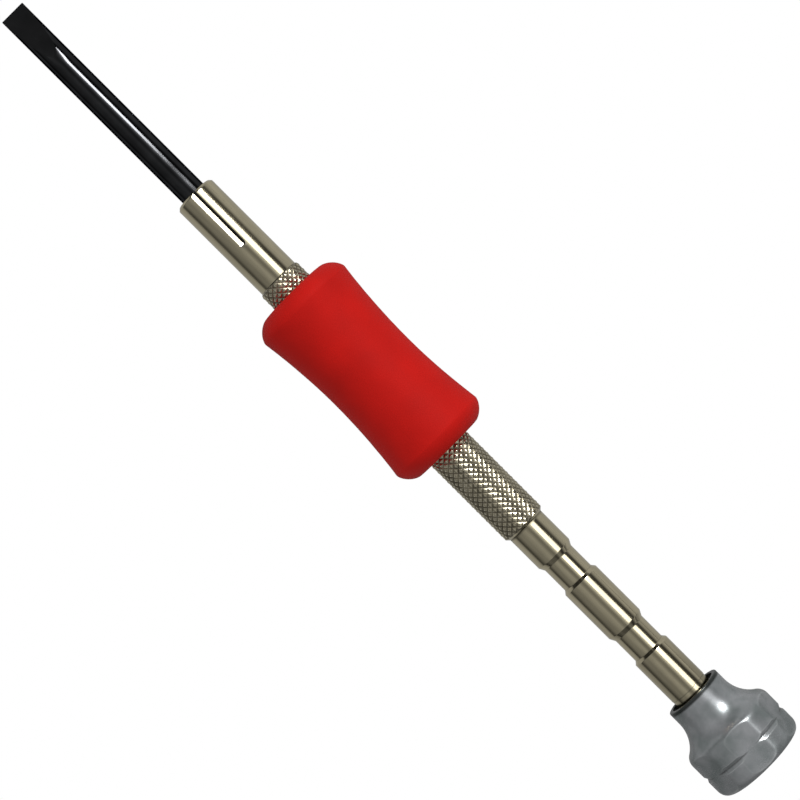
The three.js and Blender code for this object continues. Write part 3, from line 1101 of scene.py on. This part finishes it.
def make_world():
    """Soft light from all round, darker beside the strip lamps and beyond both ends of the tool."""
    world = bpy.data.worlds.new("studio")
    bpy.context.scene.world = world
    world.use_nodes = True
    tree = world.node_tree
    tree.nodes.clear()
    way = add(tree, "ShaderNodeTexCoord").outputs["Generated"]
    parts = add(tree, "ShaderNodeSeparateXYZ", {0: way}).outputs
    lean = sum_of(tree, "ARCTAN2", parts["Y"], parts["Z"])
    share = ranged(tree, lean, -pi, pi)
    ramp = add(tree, "ShaderNodeValToRGB", {0: share})
    # brightness against the angle round the tool, in degrees from straight up towards +Y
    levels = {
        -180: 0.36,
        -94: 0.08,
        -84: 0.08,
        -76: 0.16,
        -66: 0.22,
        -48: 0.25,
        -34: 0.33,
        -20: 0.38,
        -11: 0.27,
        -4: 0.20,
        3: 0.20,
        10: 0.36,
        16: 0.64,
        24: 0.9,
        46: 0.4,
        52: 0.05,
        66: 0.05,
        73: 0.24,
        80: 0.38,
        88: 0.46,
        179: 0.46,
    }
    stops = ramp.color_ramp.elements
    while len(stops) > 1:
        stops.remove(stops[-1])
    for i, (degrees, level) in enumerate(levels.items()):
        place = (degrees + 180) / 360
        stop = stops[0] if i == 0 else stops.new(place)
        stop.position = place
        stop.color = (level, level, level, 1.0)
    sideways = sum_of(tree, "ABSOLUTE", parts["X"])
    ends = ranged(tree, sideways, 0.72, 0.90, 1.0, 0.12)
    rays = add(tree, "ShaderNodeLightPath").outputs
    grey = add(tree, "ShaderNodeRGBToBW", {0: ramp.outputs[0]}).outputs[0]
    level = sum_of(tree, "MULTIPLY", grey, ends)
    level = sum_of(tree, "MULTIPLY_ADD", rays["Is Diffuse Ray"], SOFT_FILL, level)
    fill = add(tree, "ShaderNodeBackground", {"Color": (1, 1, 1, 1), "Strength": level})
    white = add(tree, "ShaderNodeBackground", {"Color": (1, 1, 1, 1), "Strength": 1.0})
    inputs = {0: rays["Is Camera Ray"], 1: fill.outputs[0], 2: white.outputs[0]}
    both = add(tree, "ShaderNodeMixShader", inputs)
    add(tree, "ShaderNodeOutputWorld", {0: both.outputs[0]})


def floor_finish():
    """A pale floor that glows rather than takes light: plain white to look at, and a soft grey glow in the
    metal's reflections and in the matt fill, painted with light and shade: dimmer far out to -Y, a little
    brighter towards +Y, and dimmer past the knob and beyond both ends.
    """
    finish = bpy.data.materials.new("floor")
    finish.use_nodes = True
    tree = finish.node_tree
    tree.nodes.clear()
    place = object_place(tree)
    parts = add(tree, "ShaderNodeSeparateXYZ", {0: place}).outputs
    # painted light and shade in the floor's glow: dimmer far out to -Y, a little brighter towards +Y
    near = ranged(tree, parts["Y"], -0.09, -0.018, 0.09, 0.37)
    bright_side = ranged(tree, parts["Y"], -0.01, 0.03, 0.0, 0.08)
    speckle = noise_at(tree, place, 40.0)
    level = sum_of(tree, "MULTIPLY_ADD", speckle, 0.03, sum_of(tree, "ADD", near, bright_side))
    # painted shade in the floor's glow: dimmer past the knob and beyond both ends
    at_knob = ranged(tree, parts["X"], 0.038, 0.052, 1.0, 0.6)
    beyond = ranged(tree, sum_of(tree, "ABSOLUTE", parts["X"]), 0.062, 0.09, 1.0, 0.25)
    level = sum_of(tree, "MULTIPLY", level, sum_of(tree, "MULTIPLY", at_knob, beyond))
    rays = add(tree, "ShaderNodeLightPath").outputs
    level = sum_of(tree, "MULTIPLY_ADD", rays["Is Diffuse Ray"], SOFT_FILL, level)
    soft = add(tree, "ShaderNodeEmission", {"Color": (1, 1, 1, 1), "Strength": level})
    plain = add(tree, "ShaderNodeEmission", {"Color": (1, 1, 1, 1), "Strength": 1.0})
    inputs = {0: rays["Is Camera Ray"], 1: soft.outputs[0], 2: plain.outputs[0]}
    both = add(tree, "ShaderNodeMixShader", inputs)
    add(tree, "ShaderNodeOutputMaterial", {0: both.outputs[0]})
    return finish


def make_floor():
    half = 3.0
    corners = [(-half, -half, 0), (half, -half, 0), (half, half, 0), (-half, half, 0)]
    mesh = bpy.data.meshes.new("floor")
    mesh.from_pydata(corners, [], [(0, 1, 2, 3)])
    mesh.materials.append(floor_finish())
    floor = bpy.data.objects.new("floor", mesh)
    bpy.context.scene.collection.objects.link(floor)


def make_lamp(name, start, end, width, brightness, reach, lean):
    """A flat lamp over the tool, from one place along X to another. brightness is its radiance.

    reach is its distance from the tool, and lean its angle from straight up, towards +Y.
    """
    area = (end - start) * width
    lamp = bpy.data.lights.new(name, "AREA")
    lamp.shape = "RECTANGLE"
    lamp.size = end - start
    lamp.size_y = width
    lamp.energy = brightness * pi * area
    holder = bpy.data.objects.new(name, lamp)
    holder.location = ((start + end) / 2, reach * sin(lean), AXIS + reach * cos(lean))
    holder.rotation_euler = (-lean, 0, 0)
    holder.visible_camera = False
    bpy.context.scene.collection.objects.link(holder)


def make_camera(settings):
    camera = bpy.data.cameras.new("camera")
    camera.lens = settings.lens
    camera.sensor_width = 36
    camera.clip_start = 0.01
    camera.clip_end = 20
    holder = bpy.data.objects.new("camera", camera)
    middle = TIP + LENGTH / 2
    holder.location = (middle + settings.camera_along, 0, AXIS + settings.camera_height)
    holder.rotation_euler = (0, 0, settings.camera_turn)
    bpy.context.scene.collection.objects.link(holder)
    bpy.context.scene.camera = holder


# ---- operators ----------------------------------------------------------------------------------


class SCREWDRIVER_OT_blade(bpy.types.Operator):
    """Make the blackened blade with its ground tip and tang"""

    bl_idname = "screwdriver.blade"
    bl_label = "Blade"

    def execute(self, context):
        mesh = blade_mesh(context.scene.screwdriver_blade)
        make_piece("blade_bar", mesh, "blade", "black_oxide", "blade")
        return {"FINISHED"}


class SCREWDRIVER_OT_nose(bpy.types.Operator):
    """Make the split nose that holds the blade"""

    bl_idname = "screwdriver.nose"
    bl_label = "Split Nose"

    def execute(self, context):
        mesh = nose_mesh(context.scene.screwdriver_nose)
        make_piece("split_nose", mesh, "handle", "nickel_plate", "chuck_nose")
        return {"FINISHED"}


class SCREWDRIVER_OT_barrel(bpy.types.Operator):
    """Make the knurled barrel and its stepped tail"""

    bl_idname = "screwdriver.barrel"
    bl_label = "Knurled Barrel"

    def execute(self, context):
        mesh = barrel_mesh(context.scene.screwdriver_barrel)
        make_piece("knurled_barrel", mesh, "handle", "nickel_plate", "barrel")
        return {"FINISHED"}


class SCREWDRIVER_OT_cushion(bpy.types.Operator):
    """Make the soft red cushion sleeve"""

    bl_idname = "screwdriver.cushion"
    bl_label = "Cushion Sleeve"

    def execute(self, context):
        mesh = cushion_mesh(context.scene.screwdriver_cushion)
        sleeve = make_piece("cushion_sleeve", mesh, "handle", "red_cushion", "cushion_grip")
        return {"FINISHED"}


class SCREWDRIVER_OT_spacer(bpy.types.Operator):
    """Make the spacer ring between the barrel's tail and the knob"""

    bl_idname = "screwdriver.spacer"
    bl_label = "Spacer Ring"

    def execute(self, context):
        make_piece("spacer_ring", spacer_mesh(), "handle", "nickel_plate", "spacer_collar")
        return {"FINISHED"}


class SCREWDRIVER_OT_knob(bpy.types.Operator):
    """Make the six-sided swivel knob and its end cap"""

    bl_idname = "screwdriver.knob"
    bl_label = "Swivel Knob"

    def execute(self, context):
        mesh = knob_mesh(context.scene.screwdriver_knob)
        make_piece("knob_body", mesh, "knob", "grey_aluminium", "knob_shell")
        make_piece("knob_cap", cap_mesh(), "knob", "grey_aluminium", "end_cap")
        return {"FINISHED"}


class SCREWDRIVER_OT_inner_parts(bpy.types.Operator):
    """Give the bearing, spindle and other inner parts their finishes"""

    bl_idname = "screwdriver.inner_parts"
    bl_label = "Inner Parts"

    def execute(self, context):
        for part in frame["record"]["subparts"]:
            node = frame["nodes"][part["node"]]
            node.data.materials.clear()
            node.data.materials.append(finish_for(part["material_slot"]))
        return {"FINISHED"}


class SCREWDRIVER_OT_stage(bpy.types.Operator):
    """Make the floor, the lights and the camera"""

    bl_idname = "screwdriver.stage"
    bl_label = "Stage"

    def execute(self, context):
        settings = context.scene.screwdriver_stage
        context.scene.view_settings.view_transform = "Standard"
        make_world()
        make_floor()
        reach, lean = settings.lamp_reach, settings.lamp_angle
        # the bright head hangs a little nearer than the strip, so that the strip does not hide it
        make_lamp("long strip", -0.36, 0.118, 0.17, 1.9, reach, lean)
        make_lamp("bright head", -0.27, -0.088, 0.115, 24.0, 0.95 * reach, lean + radians(4.5))
        make_camera(settings)
        return {"FINISHED"}


class SCREWDRIVER_PT_panel(bpy.types.Panel):
    bl_idname = "SCREWDRIVER_PT_panel"
    bl_label = "Precision Screwdriver"
    bl_space_type = "VIEW_3D"
    bl_region_type = "UI"
    bl_category = "Screwdriver"

    def draw(self, context):
        for settings in SETTINGS:
            group = getattr(context.scene, settings)
            box = self.layout.box()
            for key in group.__annotations__:
                box.prop(group, key)
        for operator in OPERATORS:
            self.layout.operator(operator.bl_idname)


SETTINGS = {
    "screwdriver_blade": BladeSettings,
    "screwdriver_nose": NoseSettings,
    "screwdriver_barrel": BarrelSettings,
    "screwdriver_cushion": CushionSettings,
    "screwdriver_knob": KnobSettings,
    "screwdriver_finishes": FinishSettings,
    "screwdriver_stage": StageSettings,
}

OPERATORS = [
    SCREWDRIVER_OT_blade,
    SCREWDRIVER_OT_nose,
    SCREWDRIVER_OT_barrel,
    SCREWDRIVER_OT_cushion,
    SCREWDRIVER_OT_spacer,
    SCREWDRIVER_OT_knob,
    SCREWDRIVER_OT_inner_parts,
    SCREWDRIVER_OT_stage,
]


def register():
    for group in SETTINGS.values():
        bpy.utils.register_class(group)
    for name, group in SETTINGS.items():
        setattr(bpy.types.Scene, name, PointerProperty(type=group))
    for operator in OPERATORS:
        bpy.utils.register_class(operator)
    bpy.utils.register_class(SCREWDRIVER_PT_panel)


def unregister():
    bpy.utils.unregister_class(SCREWDRIVER_PT_panel)
    for operator in reversed(OPERATORS):
        bpy.utils.unregister_class(operator)
    for name in SETTINGS:
        delattr(bpy.types.Scene, name)
    for group in SETTINGS.values():
        bpy.utils.unregister_class(group)


def main():
    """Makes every piece and the stage."""
    register()
    for operator in OPERATORS:
        group, name = operator.bl_idname.split(".")
        getattr(getattr(bpy.ops, group), name)()


if __name__ == "__main__":
    main()
